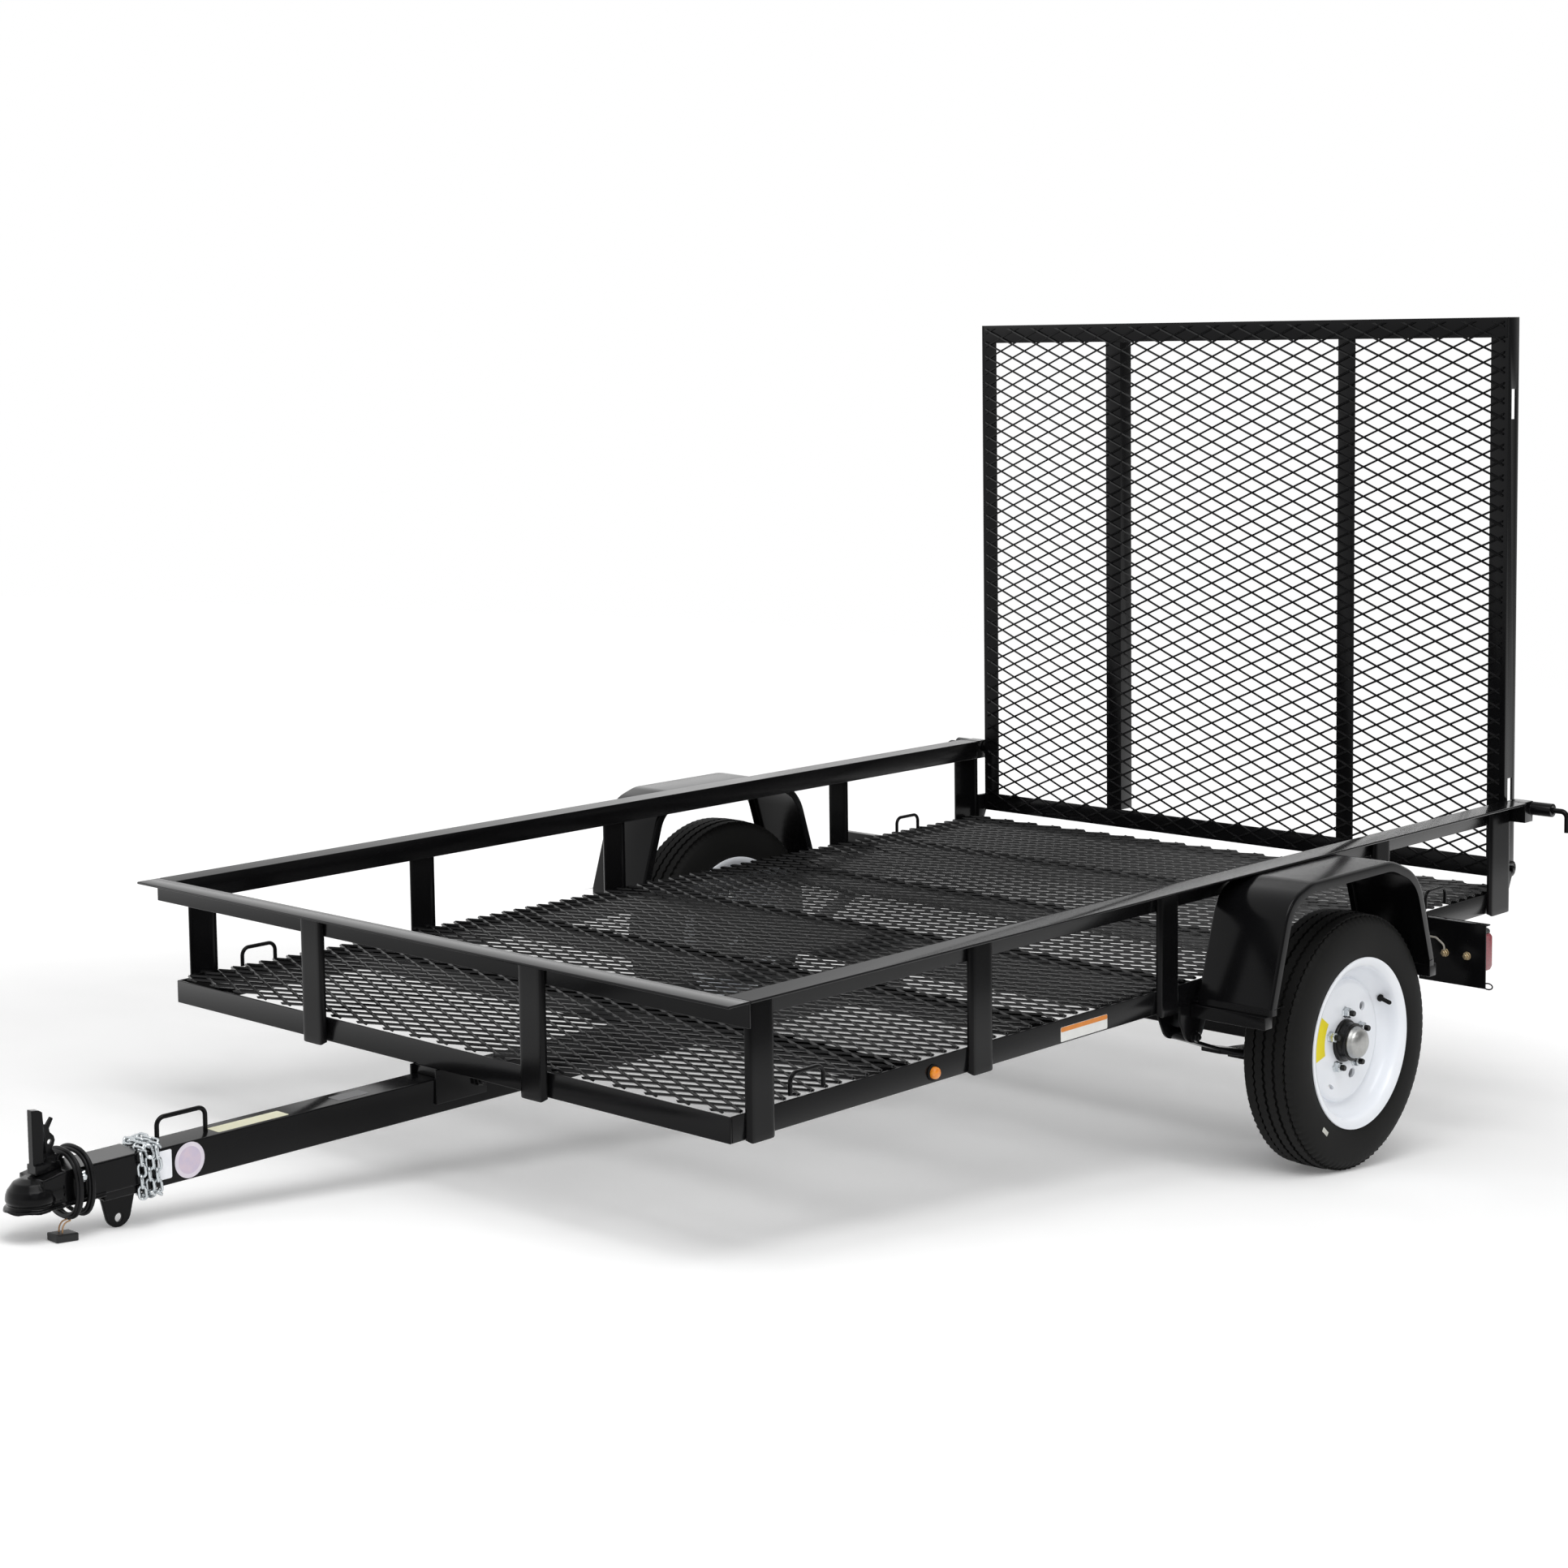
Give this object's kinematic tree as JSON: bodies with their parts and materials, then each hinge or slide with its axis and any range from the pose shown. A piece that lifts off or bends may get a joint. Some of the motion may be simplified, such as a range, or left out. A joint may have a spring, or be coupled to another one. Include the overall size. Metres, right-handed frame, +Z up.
{
  "type": "utility trailer",
  "caption": "Single-axle utility trailer with mesh deck, angle-iron rails, square tongue with ball coupler, fenders and a mesh ramp gate that hinges down at the rear.",
  "frame": {"origin": "centre of the bounding box on the floor the trailer stands on", "axes": "-Y towards the coupler, +X to the trailer's left, +Z up; the trailer stands nose-down on its tyres and chain plate, turned 5.98 degrees about X from level"},
  "size_m": [1.88, 3.3424, 1.7725],
  "materials": {
    "black_powder_coat": "gloss black powder coat on welded steel",
    "black_mesh": "black powder coat on expanded steel mesh",
    "tyre_rubber": "black ribbed trailer tyre rubber",
    "white_rim_paint": "white enamel on pressed steel",
    "black_hub": "black painted cast hub",
    "bright_cap": "bright pressed dust cap",
    "machined_steel": "machined steel",
    "zinc_steel": "bright zinc plated steel",
    "red_lens": "clear red lamp lens",
    "amber_lens": "clear amber lamp lens",
    "wire_insulation": "tan and brown wire insulation",
    "black_plastic": "moulded black plastic"
  },
  "bodies": {
    "trailer": {"axle_beam": "black_powder_coat", "axle_clamps": "black_powder_coat", "chain_plate": "black_powder_coat", "coupler": "black_powder_coat", "coupler_lever": "black_powder_coat", "crossmembers": "black_powder_coat", "deck_mesh": "black_mesh", "fender_braces": "black_powder_coat", "fender_left": "black_powder_coat", "fender_right": "black_powder_coat", "frame_front": "black_powder_coat", "frame_rear": "black_powder_coat", "frame_side_left": "black_powder_coat", "frame_side_right": "black_powder_coat", "front_posts": "black_powder_coat", "gate_lugs": "black_powder_coat", "harness_loom": "black_plastic", "harness_plug": "black_plastic", "harness_wires": "wire_insulation", "lamp_housings": "black_plastic", "lamp_lenses": "red_lens", "lamp_plates": "black_powder_coat", "latch_housings": "black_powder_coat", "latch_pins": "zinc_steel", "leaf_springs": "black_powder_coat", "lift_handle": "black_powder_coat", "safety_chains": "zinc_steel", "side_markers": "amber_lens", "side_posts_left": "black_powder_coat", "side_posts_right": "black_powder_coat", "spindles": "machined_steel", "spring_hangers": "black_powder_coat", "tie_down_loops": "black_powder_coat", "tongue": "black_powder_coat", "tongue_cheeks": "black_powder_coat", "tongue_saddles": "black_powder_coat", "top_rail_front": "black_powder_coat", "top_rail_left": "black_powder_coat", "top_rail_right": "black_powder_coat"},
    "wheel_left": {"hub_cap_left": "bright_cap", "hub_left": "black_hub", "rim_left": "white_rim_paint", "tyre_left": "tyre_rubber"},
    "wheel_right": {"hub_cap_right": "bright_cap", "hub_right": "black_hub", "rim_right": "white_rim_paint", "tyre_right": "tyre_rubber"},
    "gate": {"gate_bottom_bar": "black_powder_coat", "gate_hinge_pins": "zinc_steel", "gate_mesh": "black_mesh", "gate_top_bar": "black_powder_coat", "gate_uprights": "black_powder_coat"}
  },
  "joints": [
    {"name": "wheel_left_spin", "type": "hinge", "parent": "trailer", "child": "wheel_left", "pos_m": [0.865, 0.78041, 0.256], "axis": [1, 0, 0], "continuous": true},
    {"name": "wheel_right_spin", "type": "hinge", "parent": "trailer", "child": "wheel_right", "pos_m": [-0.865, 0.78041, 0.256], "axis": [1, 0, 0], "continuous": true},
    {"name": "gate_hinge", "type": "hinge", "parent": "trailer", "child": "gate", "pos_m": [0, 1.63857, 0.54895], "axis": [-1, 0, 0], "range_deg": [0, 120.8]}
  ]
}
